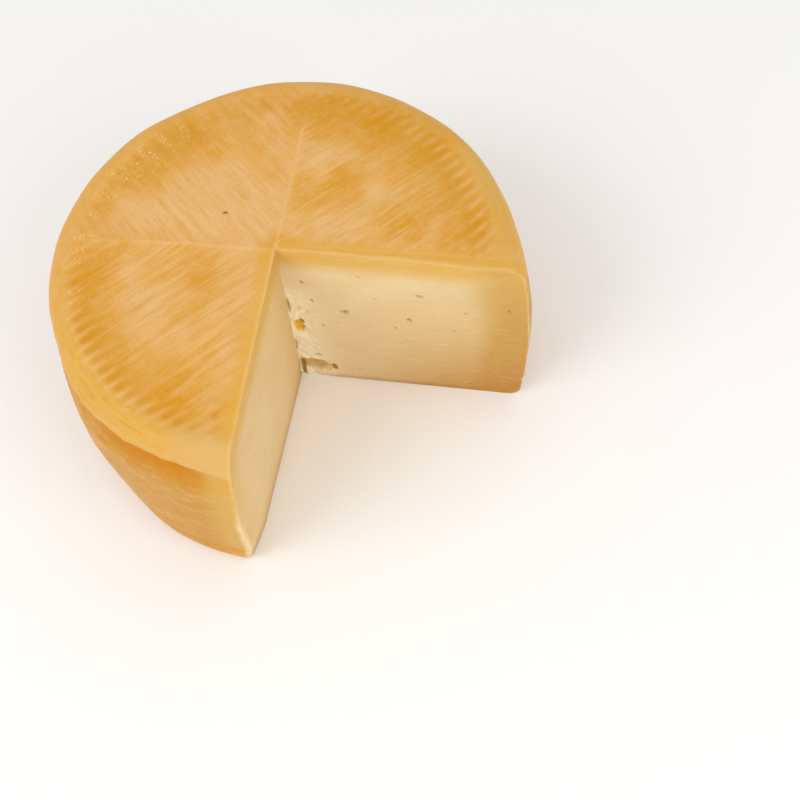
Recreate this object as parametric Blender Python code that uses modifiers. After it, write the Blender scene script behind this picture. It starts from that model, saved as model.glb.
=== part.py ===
# Three quarters of a wheel of cured sheep cheese.
#
# The wheel stands on z = 0, round the Z axis. The quarter at x > 0, y < 0 is cut away, so that the
# pale paste shows on two faces that meet at the axis. Both flat faces of the wheel carry the print
# of the carved boards that it was pressed between: a thin cross, and grooves that run along each
# quadrant's bisector. A lip left by the top board stands over a crease round the wall.

import math
import random

import bmesh
import bpy
from mathutils import Euler, Matrix, Vector, noise

MM = 0.001

# The wheel
WHEEL_HEIGHT = 93 * MM
WALL_RADIUS = 100.5 * MM      # at the widest, half way up
WIDEST_HEIGHT = 48 * MM
WALL_BULGE = 0.88 * MM        # how much the radius has fallen a BULGE_SPAN above or below that
BULGE_SPAN = 31.6 * MM
TURN_STEPS = 96

# The pressed top: a flat disc, a rounded shoulder, a lip and the crease under it
SHOULDER_RADIUS = 84 * MM     # where the flat disc ends
LIP_RADIUS = 94.6 * MM
LIP_HEIGHT = 82 * MM
LIP_WAVE = 1.5 * MM           # how far the lip wanders up and down
CREASE_HEIGHT = 78.6 * MM
CREASE_WIDTH = 2.3 * MM
CREASE_DEPTH = 0.35 * MM      # all round
SWELL_TOP = 79 * MM           # the wall slopes out from the lip to full width between these heights
SWELL_BOTTOM = 39 * MM
DOME = 1.4 * MM               # rise of the top's middle
TOP_SHARE = (0.66, 0.82)      # share of the height over which a point comes to move with the top
RIM_SPAN = (80 * MM, 92 * MM)   # radius over which a point comes to move with the wall

# The front left, where the cloth was folded: a deep crease, and a ledge close under it
FOLD_SIDE = math.radians(243)
FOLD_REACH = math.radians(25)   # it has faded out where the cut begins
FOLD_EASE = math.radians(11)
FOLD_CREASE = 1.6 * MM        # how much deeper the crease is there
LEDGE_RISE = 2.8 * MM
LEDGE_HEIGHT = 76 * MM
LEDGE_STEP = 4.5 * MM         # it is reached this far down, and fades out over the span below
LEDGE_FADE = 33 * MM

# Fuller and slimmer places of the side: direction and spread in degrees, amount, height and spread
FULL_PLACES = (
    (-5, 11, 3.2 * MM, 78 * MM, 17 * MM),    # beside the right-hand cut
    (24, 20, -1.5 * MM, 86 * MM, 10 * MM),   # the shoulder past it
    (75, 16, 1.6 * MM, 88 * MM, 6 * MM),     # the shoulder at the back
    (110, 50, 1.7 * MM, 88 * MM, 6 * MM),
    (175, 12, 1.0 * MM, 86 * MM, 8 * MM),    # and on the left
    (209, 8, -1.2 * MM, 85 * MM, 8 * MM),
    (243, 14, 0.9 * MM, 6 * MM, 12 * MM),    # the foot at the front left
)

# The foot: a round corner and a faint band a little above it
FOOT_RADIUS = 93.5 * MM       # where the flat underside ends
FOOT_HEIGHT = 7 * MM
BAND_HEIGHT = 14 * MM
BAND_WIDTH = 1.6 * MM
BAND_DEPTH = 0.6 * MM

# Unevenness of a wheel pressed by hand
OVAL = 0.35 * MM
FIVE_SIDED = 0.25 * MM
WALL_LUMP = 0.45 * MM
WALL_LUMP_SIZE = 22 * MM
TOP_DENT = 0.4 * MM
TOP_DENT_SIZE = 30 * MM
STEADY_FOOT = 12 * MM         # the wall keeps its round foot below this height

# Heights in mm of the rings down the wall, closest round the crease and the foot's band
WALL_HEIGHTS = (80.8, 79.7, 78.6, 77.4, 76.0, 74.2, 72.0, 69.5, 65, 58, 48, 38, 28, 20, 16, 14, 12, 9.5)

# The pressed print
CROSS_CENTRE = Vector((-1.3 * MM, -1.7 * MM))
PRINT_RADIUS = 83.5 * MM
PRINT_TURN = -1               # degrees that the board was turned against the cut
GROOVE_PITCH = 5.3 * MM
CROSS_MARGIN = 2.2 * MM       # plain strip each side of the cross
START_SCATTER = 1.2 * MM      # how unevenly the grooves begin and end
END_SCATTER = 1.0 * MM
DEPTH_SCATTER = (0.85, 1.1)
GROOVE_INNER = 1.15 * MM      # radius of the tapered tool that pressed each groove
GROOVE_OUTER = 1.75 * MM
GROOVE_AXIS = 0.55 * MM       # its axis over the flat face
GROOVE_FLATTEN = 0.85
SHORTEST_GROOVE = 6 * MM
UNDERSIDE_DEPTH = 0.7
# Each quadrant's bisector in degrees, its first groove beside the bisector, and the print's depth
QUADRANTS = ((45, 1.7 * MM, 1.0), (135, 1.0 * MM, 0.72), (225, 2.9 * MM, 1.0))

# The cut: each face's distance from the axis plane, at the top and at the base
FRONT_FACE_TOP = (-1.3 * MM, -3.3 * MM)     # x at the axis, and 95 mm out along -Y
FRONT_FACE_BASE = (-4.3 * MM, -9.9 * MM)
RIGHT_FACE_TOP = (-1.8 * MM, -5.4 * MM)     # y at the axis, and 95 mm out along +X
RIGHT_FACE_BASE = (-3.4 * MM, -7.3 * MM)
FACE_REACH = 95 * MM
TIP_WEAR = 2.2 * MM           # the front face's lower outer corner is worn round
TIP_START = 78 * MM
TIP_SPAN = 22 * MM
CUT_REACH = 125 * MM
CUT_OVERRUN = 12 * MM         # how far the cut runs past the top and the base
CUT_CELLS = 10

# The torn strip down the inner corner, where the paste broke instead of being cut
TORN_WIDTH = 12 * MM
TORN_DEPTH = 1.1 * MM
TORN_TOP = 72 * MM
TORN_FADE = 20 * MM
TORN_SCALE = 7 * MM
TORN_LEFT_SHARE = 0.4         # of the tearing, on the front face

SEED = 11


def smooth(value):
    """Eases from 0 to 1 and stays there."""
    value = min(max(value, 0.0), 1.0)
    return value * value * (3 - 2 * value)


def bell(distance, width):
    """1 at no distance, falling away over about the width."""
    return math.exp(-((distance / width) ** 2))


def mix(first, second, share):
    return first + (second - first) * share


def share_between(limits, value):
    """How far along a value lies from the first limit to the second."""
    return (value - limits[0]) / (limits[1] - limits[0])


def turn_from(middle, angle):
    """The angle from a middle direction, between minus and plus half a turn."""
    return (angle - middle + math.pi) % math.tau - math.pi


def new_collection(name):
    collection = bpy.data.collections.new(name)
    bpy.context.scene.collection.children.link(collection)
    return collection


def add_object(name, bm, collection):
    """Turns a bmesh into an object of a collection."""
    mesh = bpy.data.meshes.new(name)
    bm.to_mesh(mesh)
    bm.free()
    obj = bpy.data.objects.new(name, mesh)
    collection.objects.link(obj)
    return obj


def add_cutter(name, bm, collection):
    cutter = add_object(name, bm, collection)
    cutter.hide_render = True
    cutter.display_type = "WIRE"
    return cutter


def apply_modifiers(obj):
    """Replaces an object's mesh by what its modifiers make of it."""
    evaluated = obj.evaluated_get(bpy.context.evaluated_depsgraph_get())
    mesh = bpy.data.meshes.new_from_object(evaluated)
    obj.modifiers.clear()
    obj.data = mesh


def subtract(obj, cutter):
    boolean = obj.modifiers.new(cutter.name, "BOOLEAN")
    boolean.operation = "DIFFERENCE"
    boolean.solver = "EXACT"
    boolean.object = cutter


def rind_material():
    """Golden cured rind with a dull, slightly greasy finish."""
    material = bpy.data.materials.new("cured_rind")
    material.use_nodes = True
    shader = material.node_tree.nodes["Principled BSDF"]
    shader.inputs["Base Color"].default_value = (0.76, 0.44, 0.12, 1)
    shader.inputs["Roughness"].default_value = 0.5
    shader.inputs["Metallic"].default_value = 0.0
    return material


def arc(centre, half_width, half_height, start, end, count):
    """Points on an ellipse about a (radius, height) centre, from one angle in degrees to another."""
    angles = [math.radians(mix(start, end, i / (count - 1))) for i in range(count)]
    return [
        (centre[0] + half_width * math.cos(a), centre[1] + half_height * math.sin(a)) for a in angles
    ]


def wall_radius(height):
    """The bulging wall, drawn in under the lip and pinched by the crease and the foot's band."""
    bulge = WALL_RADIUS - WALL_BULGE * ((height - WIDEST_HEIGHT) / BULGE_SPAN) ** 2
    slope = min(max(share_between((SWELL_TOP, SWELL_BOTTOM), height), 0.0), 1.0)
    swell = slope * (1.5 - 0.5 * slope**2)
    crease = CREASE_DEPTH * bell(height - CREASE_HEIGHT, CREASE_WIDTH)
    band = BAND_DEPTH * bell(height - BAND_HEIGHT, BAND_WIDTH)
    return mix(LIP_RADIUS, bulge, swell) - crease - band


def wheel_profile():
    """(radius, height) down the outer side, from the middle of the top to the middle of the base."""
    shoulder = arc(
        (SHOULDER_RADIUS, LIP_HEIGHT), LIP_RADIUS - SHOULDER_RADIUS, WHEEL_HEIGHT - LIP_HEIGHT, 90, 0, 7
    )
    wall = [(wall_radius(height * MM), height * MM) for height in WALL_HEIGHTS]
    foot_width = wall_radius(FOOT_HEIGHT) - FOOT_RADIUS
    foot = arc((FOOT_RADIUS, FOOT_HEIGHT), foot_width, FOOT_HEIGHT, 0, -90, 5)
    return [(0, WHEEL_HEIGHT)] + shoulder + wall + foot + [(0, 0)]


def turn_wheel(collection):
    """The plain wheel, turned about Z, with its top and underside as one flat face each."""
    bm = bmesh.new()
    points = [bm.verts.new((radius, 0, height)) for radius, height in wheel_profile()]
    for upper, lower in zip(points, points[1:]):
        bm.edges.new((upper, lower))
    wheel = add_object("cheese_wheel", bm, collection)
    screw = wheel.modifiers.new("turn", "SCREW")
    screw.axis = "Z"
    screw.angle = math.tau
    screw.steps = TURN_STEPS
    screw.render_steps = TURN_STEPS
    screw.use_merge_vertices = True
    screw.merge_threshold = 0.01 * MM
    apply_modifiers(wheel)

    bm = bmesh.new()
    bm.from_mesh(wheel.data)
    for level in (WHEEL_HEIGHT, 0.0):
        flat = [f for f in bm.faces if all(abs(v.co.z - level) < 0.001 * MM for v in f.verts)]
        bmesh.ops.dissolve_faces(bm, faces=flat, use_verts=True)
    bmesh.ops.recalc_face_normals(bm, faces=bm.faces)
    bm.to_mesh(wheel.data)
    bm.free()
    return wheel


def groove_runs():
    """Each groove's inner end, direction, length and depth share, quadrant by quadrant."""
    draw = random.Random(SEED)
    most = int(PRINT_RADIUS / GROOVE_PITCH)
    for bisector, first, depth in QUADRANTS:
        heading = math.radians(bisector + PRINT_TURN)
        along = Vector((math.cos(heading), math.sin(heading)))
        across = Vector((-along.y, along.x))
        for step in range(-most, most):
            offset = first + step * GROOVE_PITCH
            start = abs(offset) + CROSS_MARGIN + draw.uniform(0, START_SCATTER)
            end = math.sqrt(PRINT_RADIUS**2 - offset**2) - draw.uniform(0, END_SCATTER)
            if end - start < SHORTEST_GROOVE:
                continue
            inner = CROSS_CENTRE + along * start + across * offset
            yield inner, along, end - start, depth * draw.uniform(*DEPTH_SCATTER)


def make_grooves(collection):
    """One tapered bar for each groove, lying in the top and in the underside."""
    bm = bmesh.new()
    for level, side, face_share in ((WHEEL_HEIGHT, 1, 1.0), (0.0, -1, UNDERSIDE_DEPTH)):
        for inner, along, length, share in groove_runs():
            middle = inner + along * (length / 2)
            lift = side * GROOVE_AXIS
            direction = Vector((along.x, along.y, 0))
            lay = Vector((0, 0, 1)).rotation_difference(direction).to_matrix().to_4x4()
            flatten = Matrix.Diagonal((1, 1, GROOVE_FLATTEN, 1))
            place = Matrix.Translation((middle.x, middle.y, level + lift)) @ flatten @ lay
            depth = share * face_share
            bmesh.ops.create_cone(
                bm,
                cap_ends=True,
                segments=8,
                radius1=mix(GROOVE_AXIS / GROOVE_FLATTEN, GROOVE_INNER, depth),
                radius2=mix(GROOVE_AXIS / GROOVE_FLATTEN, GROOVE_OUTER, depth),
                depth=length,
                matrix=place,
            )
    return add_cutter("groove_bars", bm, collection)


def fold_out(angle, height):
    """How far the cloth's fold moves the wall out, inwards at its crease."""
    near = smooth((FOLD_REACH - abs(turn_from(FOLD_SIDE, angle))) / FOLD_EASE)
    below = LEDGE_HEIGHT - height
    ledge = LEDGE_RISE * smooth(below / LEDGE_STEP) * (1 - smooth(below / LEDGE_FADE))
    return near * (ledge - FOLD_CREASE * bell(height - CREASE_HEIGHT, CREASE_WIDTH))


def settle(wheel):
    """Makes the turned wheel as uneven as one pressed by hand, and leaves its base flat."""
    bm = bmesh.new()
    bm.from_mesh(wheel.data)
    bmesh.ops.triangulate(bm, faces=bm.faces)
    for vert in bm.verts:
        x, y, z = vert.co
        radius = math.hypot(x, y)
        angle = math.atan2(y, x)
        outward = Vector((x, y, 0)).normalized()
        off_base = smooth(z / STEADY_FOOT)
        near_top = smooth(share_between(TOP_SHARE, z / WHEEL_HEIGHT))
        near_rim = smooth(share_between(RIM_SPAN, radius))

        wave = 0.6 * math.sin(3 * angle + 0.9) + 0.4 * math.sin(7 * angle + 2.1)
        rise = DOME * max(0.0, 1 - (radius / SHOULDER_RADIUS) ** 2) * near_top
        rise += LIP_WAVE * wave * near_top * near_rim

        full = fold_out(angle, z)
        for side, spread, amount, height, reach in FULL_PLACES:
            turn = turn_from(math.radians(side), angle)
            full += amount * bell(turn, math.radians(spread)) * bell(z - height, reach)
        round_error = OVAL * math.sin(2 * angle + 1.0) + FIVE_SIDED * math.sin(5 * angle)
        lumps = WALL_LUMP * noise.noise(vert.co / WALL_LUMP_SIZE)
        dents = TOP_DENT * noise.noise(vert.co / TOP_DENT_SIZE + Vector((7, 3, 1)))

        vert.co += outward * ((round_error + lumps) * off_base + full) * near_rim
        vert.co.z += rise + dents * near_top
    bm.to_mesh(wheel.data)
    bm.free()


def front_face_x(distance, height):
    """x of the cut face that looks along +X, a distance out along -Y and a height up."""
    out = distance / FACE_REACH
    up = height / WHEEL_HEIGHT
    return mix(mix(*FRONT_FACE_BASE, out), mix(*FRONT_FACE_TOP, out), up)


def right_face_y(distance, height):
    """y of the cut face that looks along -Y, a distance out along +X and a height up."""
    out = distance / FACE_REACH
    up = height / WHEEL_HEIGHT
    return mix(mix(*RIGHT_FACE_BASE, out), mix(*RIGHT_FACE_TOP, out), up)


def tear(distance, height):
    """How far the torn paste stands back from the knife's plane, close to the inner corner."""
    near = smooth(1 - abs(distance) / TORN_WIDTH)
    low = smooth((TORN_TOP - height) / TORN_FADE)
    spot = Vector((distance, height, 0)) / TORN_SCALE
    return TORN_DEPTH * near * low * (0.4 + noise.noise(spot) + 0.6 * noise.noise(spot * 2.3))


def worn_tip(distance, height):
    """How far the lower outer corner of the front face is worn back."""
    return TIP_WEAR * smooth((distance - TIP_START) / TIP_SPAN) * smooth(1 - height / TIP_SPAN)


def make_quarter(collection):
    """The block that takes the quarter out, its cells closest together at the inner corner."""
    bm = bmesh.new()
    bmesh.ops.create_cube(bm, size=1)
    bmesh.ops.subdivide_edges(bm, edges=bm.edges, cuts=CUT_CELLS - 1, use_grid_fill=True)
    for vert in bm.verts:
        across, out, up = vert.co.x + 0.5, 0.5 - vert.co.y, vert.co.z + 0.5
        height = mix(-CUT_OVERRUN, WHEEL_HEIGHT + CUT_OVERRUN, up)
        x_out = CUT_REACH * across**2
        y_out = CUT_REACH * out**2
        x_face = front_face_x(y_out, height)
        y_face = right_face_y(x_out, height)
        vert.co.x = mix(x_face, CUT_REACH, across**2)
        vert.co.y = mix(y_face, -CUT_REACH, out**2)
        if out < 0.01:
            vert.co.y += tear(x_out, height)
        if across < 0.01:
            vert.co.x -= TORN_LEFT_SHARE * tear(y_out, height) + worn_tip(y_out, height)
        vert.co.z = height
    return add_cutter("quarter_block", bm, collection)


def add_lump(bm, centre, size, turn=0.0, detail=2, rough=0.18):
    """A closed lump with an uneven skin, the shape of one hole or one broken hollow."""
    made = bmesh.ops.create_icosphere(bm, subdivisions=detail, radius=1)["verts"]
    tilt = Euler((0, math.radians(turn), 0)).to_matrix()
    for vert in made:
        uneven = 1 + rough * noise.noise(vert.co * 1.7 + centre / (3 * MM))
        local = Vector([c * s for c, s in zip(vert.co, size)]) * uneven
        vert.co = centre + tilt @ local


# Holes of the right-hand cut face: distance from the corner, depth under the top, width and height
RIGHT_HOLES = (
    (5.8, 19.5, 1.8, 1.2),
    (8.3, 32.0, 1.7, 1.3),
    (21.0, 38.5, 3.2, 1.2),
    (10.8, 50.3, 1.6, 1.1),
    (49.2, 40.3, 2.2, 1.6),
    (54.2, 22.8, 3.0, 1.4),
    (73.3, 32.0, 1.7, 0.9),
    (90.8, 27.8, 1.4, 1.8),
    (12.5, 83.0, 3.0, 2.6),
    (24.0, 84.5, 1.8, 0.8),
    (75.0, 87.5, 1.9, 1.0),
)
SMALL_HOLES = 14
SMALL_HOLE = (0.7 * MM, 1.1 * MM)


def make_holes(collection):
    """Small round and slit-like holes of the paste, some placed and the rest scattered."""
    bm = bmesh.new()
    draw = random.Random(SEED + 1)
    for distance, depth, wide, high in RIGHT_HOLES:
        height = WHEEL_HEIGHT - depth * MM
        centre = Vector((distance * MM, right_face_y(distance * MM, height), height))
        size = (wide * MM / 2, mix(wide, high, 0.5) * 0.75 * MM, high * MM / 2)
        add_lump(bm, centre, size, turn=draw.uniform(-25, 25))
    for index in range(SMALL_HOLES):
        distance = mix(20, 85, (index + draw.uniform(0.1, 0.9)) / SMALL_HOLES) * MM
        height = draw.uniform(8, 78) * MM
        radius = draw.uniform(*SMALL_HOLE)
        centre = Vector((front_face_x(distance, height), -distance, height))
        add_lump(bm, centre, (radius, radius, radius), detail=1)
    return add_cutter("paste_holes", bm, collection)


def make_torn_hollows(collection):
    """Broken-out hollows down the inner corner: a fissure, a deep eye, and an undercut at the foot."""
    bm = bmesh.new()
    fissure = Vector((0.4 * MM, right_face_y(0, 58 * MM), 58 * MM))
    add_lump(bm, fissure, (0.9 * MM, 2.6 * MM, 9 * MM), turn=-8, rough=0.3)
    eye = Vector((0.6 * MM, right_face_y(0, 43.5 * MM), 43.5 * MM))
    add_lump(bm, eye, (2.3 * MM, 4.2 * MM, 3.6 * MM), turn=15)
    gap = Vector((-1.8 * MM, right_face_y(0, 31 * MM), 31 * MM))
    add_lump(bm, gap, (1.3 * MM, 2.2 * MM, 5.2 * MM), turn=4, rough=0.3)
    undercut = Vector((1.4 * MM, right_face_y(0, 11 * MM), 11.5 * MM))
    add_lump(bm, undercut, (6.2 * MM, 4.4 * MM, 7.4 * MM), turn=12, rough=0.4)
    return add_cutter("torn_hollows", bm, collection)


def main():
    for obj in list(bpy.data.objects):
        bpy.data.objects.remove(obj, do_unlink=True)
    cheese = new_collection("cured_sheep_cheese")
    cutters = new_collection("cutters")

    wheel = turn_wheel(cheese)
    subtract(wheel, make_grooves(cutters))
    apply_modifiers(wheel)
    settle(wheel)
    for make in (make_quarter, make_torn_hollows, make_holes):
        subtract(wheel, make(cutters))

    wheel.data.materials.clear()
    wheel.data.materials.append(rind_material())
    wheel.data.shade_smooth()
    wheel.data.set_sharp_from_angle(angle=math.radians(35))


main()
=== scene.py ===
import math
import random

import bpy
import numpy as np
from mathutils import Matrix, Vector, noise
from mathutils.geometry import delaunay_2d_cdt


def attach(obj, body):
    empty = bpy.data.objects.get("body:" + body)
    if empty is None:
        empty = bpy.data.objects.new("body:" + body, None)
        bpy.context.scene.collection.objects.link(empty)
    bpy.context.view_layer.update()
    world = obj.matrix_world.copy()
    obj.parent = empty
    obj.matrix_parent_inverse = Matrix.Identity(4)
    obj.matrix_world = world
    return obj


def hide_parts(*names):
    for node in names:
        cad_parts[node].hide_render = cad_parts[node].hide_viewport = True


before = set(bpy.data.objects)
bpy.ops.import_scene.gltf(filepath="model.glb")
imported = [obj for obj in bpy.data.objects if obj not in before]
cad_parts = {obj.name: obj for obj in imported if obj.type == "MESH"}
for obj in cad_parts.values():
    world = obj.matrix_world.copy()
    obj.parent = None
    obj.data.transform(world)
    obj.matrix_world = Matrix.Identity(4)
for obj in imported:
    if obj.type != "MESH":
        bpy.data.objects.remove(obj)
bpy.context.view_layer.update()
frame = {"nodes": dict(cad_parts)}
print("frame loaded:", ", ".join(frame["nodes"]))

mm = 0.001


# small helpers

def smooth(value):
    value = np.clip(value, 0, 1)
    return value * value * (3 - 2 * value)


def bell(distance, width):
    return np.exp(-(np.asarray(distance) / width) ** 2)


def about(value, place):
    # a bell round a place, given as its middle and its reach
    return bell(value - place[0], place[1])


def mix(first, second, share):
    return first + (second - first) * share


def between(limits, value):
    return (value - limits[0]) / (limits[1] - limits[0])


def turnFrom(middle, angle):
    # signed turn from a middle direction, in radians
    return (angle - math.radians(middle) + math.pi) % math.tau - math.pi


def nearSides(angle, sides):
    # how close a direction lies to some sides, each given with its spread in degrees and its share
    return sum(share * bell(turnFrom(side, angle), math.radians(spread)) for side, spread, share in sides)


def onPlane(x, y, depth=0.0):
    # points of a plane, which the noise and the materials are laid on
    return np.stack([x, y, np.full_like(x, depth)], axis=1)


def grain(points, size, shift=(0, 0, 0)):
    # Perlin noise from -1 to 1 at points in mm, with lumps about one size across
    places = np.asarray(points, dtype=float) / np.asarray(size, dtype=float) + shift
    return np.array([noise.noise(place) for place in places])


def hexColor(code):
    # sRGB hex to the linear values that Blender's sockets take
    parts = [int(code[i:i + 2], 16) / 255 for i in (1, 3, 5)]
    linear = [c / 12.92 if c <= 0.04045 else ((c + 0.055) / 1.055) ** 2.4 for c in parts]
    return (*linear, 1.0)


def addNode(tree, kind, place, values=None, links=None, **settings):
    # one shader node with its settings, socket values and incoming links
    node = tree.nodes.new(kind)
    node.location = (place[0] * 200, place[1] * 160)
    for name, value in settings.items():
        setattr(node, name, value)
    for socket, value in (values or {}).items():
        node.inputs[socket].default_value = value
    for socket, source in (links or {}).items():
        tree.links.new(source, node.inputs[socket])
    return node


# the wheel before it was cut: profile, unevenness and the places where its side is fuller

wheel = dict(
    height=93, wallRadius=100.5, widestHeight=48, wallBulge=0.88, bulgeSpan=31.6,
    shoulderRadius=84, lipRadius=94.6, lipHeight=82, lipWave=1.5,
    creaseHeight=78.6, creaseWidth=2.3, creaseDepth=0.35, swellTop=79, swellBottom=39,
    dome=1.4, topShare=(0.66, 0.82), rimSpan=(80, 92),
    footRadius=93.5, footHeight=7, bandHeight=14, bandWidth=1.6, bandDepth=0.6,
    oval=0.35, fiveSided=0.25, wallLump=0.45, wallLumpSize=22,
    topDent=0.4, topDentSize=30, steadyFoot=12,
)
clothFold = dict(side=243, reach=25, ease=11, crease=1.6, ledgeRise=2.8, ledgeHeight=76,
                 ledgeStep=4.5, ledgeFade=33)
fullPlaces = (                      # side, spread in degrees, amount, height, spread
    (-5, 11, 3.2, 78, 17),
    (24, 20, -1.5, 86, 10),
    (75, 16, 1.6, 88, 6),
    (110, 50, 1.7, 88, 6),
    (175, 12, 1.0, 86, 8),
    (209, 8, -1.2, 85, 8),
    (243, 14, 0.9, 6, 12),
)


def wallRadius(height):
    w = wheel
    bulge = w["wallRadius"] - w["wallBulge"] * ((height - w["widestHeight"]) / w["bulgeSpan"]) ** 2
    slope = np.clip(between((w["swellTop"], w["swellBottom"]), height), 0, 1)
    swell = slope * (1.5 - 0.5 * slope**2)
    crease = w["creaseDepth"] * bell(height - w["creaseHeight"], w["creaseWidth"])
    band = w["bandDepth"] * bell(height - w["bandHeight"], w["bandWidth"])
    return mix(w["lipRadius"], bulge, swell) - crease - band


def foldOut(angle, height):
    f = clothFold
    near = smooth((math.radians(f["reach"]) - abs(turnFrom(f["side"], angle))) / math.radians(f["ease"]))
    below = f["ledgeHeight"] - height
    ledge = f["ledgeRise"] * smooth(below / f["ledgeStep"]) * (1 - smooth(below / f["ledgeFade"]))
    return near * (ledge - f["crease"] * bell(height - wheel["creaseHeight"], wheel["creaseWidth"]))


def settled(points):
    # the turned form made as uneven as a wheel pressed by hand, with a flat base
    w = wheel
    x, y, z = points.T
    radius = np.hypot(x, y)
    angle = np.arctan2(y, x)
    offBase = smooth(z / w["steadyFoot"])
    nearTop = smooth(between(w["topShare"], z / w["height"]))
    nearRim = smooth(between(w["rimSpan"], radius))

    wave = 0.6 * np.sin(3 * angle + 0.9) + 0.4 * np.sin(7 * angle + 2.1)
    rise = w["dome"] * np.maximum(0, 1 - (radius / w["shoulderRadius"]) ** 2) * nearTop
    rise += w["lipWave"] * wave * nearTop * nearRim

    full = foldOut(angle, z)
    for side, spread, amount, height, reach in fullPlaces:
        full += amount * bell(turnFrom(side, angle), math.radians(spread)) * bell(z - height, reach)
    roundError = w["oval"] * np.sin(2 * angle + 1) + w["fiveSided"] * np.sin(5 * angle)
    lumps = w["wallLump"] * grain(points, w["wallLumpSize"])
    dents = w["topDent"] * grain(points, w["topDentSize"], (7, 3, 1))

    outward = ((roundError + lumps) * offBase + full) * nearRim / np.maximum(radius, 0.001)
    return np.stack([x + x * outward, y + y * outward, z + rise + dents * nearTop], axis=1)


# the two cut faces, which lean and stand a little off the axis

cut = dict(
    frontTop=(-1.3, -3.3), frontBase=(-4.3, -9.9),    # x at the axis, and at the reach along -Y
    rightTop=(-1.8, -5.4), rightBase=(-3.4, -7.3),    # y at the axis, and at the reach along +X
    reach=95, tipWear=2.2, tipStart=78, tipSpan=22, edgeRound=0.35, edgeSpan=1.0,
)


def frontFaceX(out, up):
    share, rise = out / cut["reach"], up / wheel["height"]
    flat = mix(mix(*cut["frontBase"], share), mix(*cut["frontTop"], share), rise)
    span = cut["tipSpan"]
    return flat - cut["tipWear"] * smooth((out - cut["tipStart"]) / span) * smooth(1 - up / span)


def rightFaceY(out, up):
    share, rise = out / cut["reach"], up / wheel["height"]
    return mix(mix(*cut["rightBase"], share), mix(*cut["rightTop"], share), rise)


def innerCorner(up):
    x = y = np.zeros_like(up)
    for _ in range(6):
        x = frontFaceX(-y, up)
        y = rightFaceY(x, up)
    return np.stack([x, y, up], axis=1)


# the inner corner, where the paste broke instead of being cut

tear = dict(width=12, depth=0.9, top=72, fade=20, scale=7, leftShare=0.4, reachIn=8,
            reachAcross=1.2)
brokenPlaces = (                     # kind, x, z, half width, half height, depth, edge hardness
    # the cracks, the chinks, the slot and the hollow are painted darker as the shade inside them; the eye
    # keeps its own golden colour
    ("eye", -0.2, 40.2, 2.7, 5.8, 1.3, 2.2),
    ("crack", 1.7, 44.4, 1.5, 2.2, 0.9, 1.5),      # the small hole at the eye's upper edge
    ("chink", -2.3, 56.0, 0.7, 8.0, 0.2, 0.8),     # cracks down the corner
    ("chink", -3.6, 25.0, 0.8, 6.0, 0.25, 0.8),
    ("hollow", 2.2, 8.6, 11.0, 6.0, 1.3, 0.8),     # the hollow under the ledge
    ("slot", -3.0, 4.0, 1.2, 11.0, 0.7, 0.8),      # and the slot beside it
    ("hollow", 5.5, 17.5, 2.6, 0.8, 0.6, 1.0),
    ("crack", 12.3, 8.4, 1.6, 2.6, 0.5, 2.4),      # a round hole beside the hollow
)


def brokenShare(x, z, place):
    # how far a point lies inside a broken place, from 0 to 1, with a ragged edge
    px, pz, halfWide, halfHigh, _, hard = place[1:]
    spot = onPlane(x, z)
    waver = 1 + 0.24 * grain(spot, 2.6, (3, 1, 4)) + 0.14 * grain(spot, 1.1, (5, 2, 6))
    q = np.hypot((x - px) / halfWide, (z - pz) / halfHigh) * waver
    return smooth((1 - q) * (1 + hard))


def roughDepth(away, z):
    # how deep the paste broke at a distance from the inner corner
    spot = onPlane(away, z)
    near = smooth(1 - abs(away) / tear["width"]) * smooth((tear["top"] - z) / tear["fade"])
    rough = 0.4 + grain(spot, tear["scale"]) + 0.6 * grain(spot, tear["scale"] / 2.3)
    return tear["depth"] * near * rough


def tornRight(x, z):
    # how far the broken paste of the right face stands back, along +Y
    depth = roughDepth(x, z)
    for place in brokenPlaces:
        depth += place[5] * brokenShare(x, z, place)
    ledge = bell(z - 16.0, 2.0) * smooth(1 - abs(x - 0.5) / 8)
    return depth - 0.45 * ledge


def tornFront(out, z):
    # and of the front face, along -X
    return tear["leftShare"] * roughDepth(out, z)


def torn(points):
    # moves every surface near the inner corner back with the tear, so that they still meet
    x, y, z = points.T
    moved = points.copy()
    close = (np.hypot(x, y) < 30)
    px, py, pz = x[close], y[close], z[close]
    fromRight = py - rightFaceY(px, pz)
    fromFront = frontFaceX(-py, pz) - px
    # it fades slowly into the body, and at once along the other face
    inRight = np.where(fromRight > 0, tear["reachIn"], tear["reachAcross"])
    inFront = np.where(fromFront > 0, tear["reachIn"], tear["reachAcross"])
    moved[close, 1] += tornRight(px, pz) * bell(fromRight, inRight)
    moved[close, 0] -= tornFront(-py, pz) * bell(fromFront, inFront)
    return moved


# the print of the pressing boards

printed = dict(
    centre=(-1.3, -1.7), radius=83.5, turn=-1, pitch=5.3, margin=2.2, startScatter=1.2, endScatter=1.0,
    scatter=(0.85, 1.1), shortest=6, innerHalf=2.0, outerHalf=2.5, innerDepth=0.17, outerDepth=0.32,
    underside=0.7, toothLength=18, endTaper=5.5, goldLength=14, toothTint=(0.25, 1.0),
    crossHeight=0.3, crossHalf=0.75, lineLength=26, lineWidth=1.35, lineHeight=0.07,
    besideCut=(1.5, 6.5), seed=11,
)
quadrants = (                        # bisector, first groove, depth, how much of its fine lines shows
    (45, 1.7, 1.0, 0.8),
    (135, 1.0, 0.72, 0.55),
    (225, 2.9, 1.0, 0.9),
)
clearTeeth = ((26, 30, 0.8), (228, 34, 0.8))     # sides with golden teeth: direction, spread, share


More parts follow.
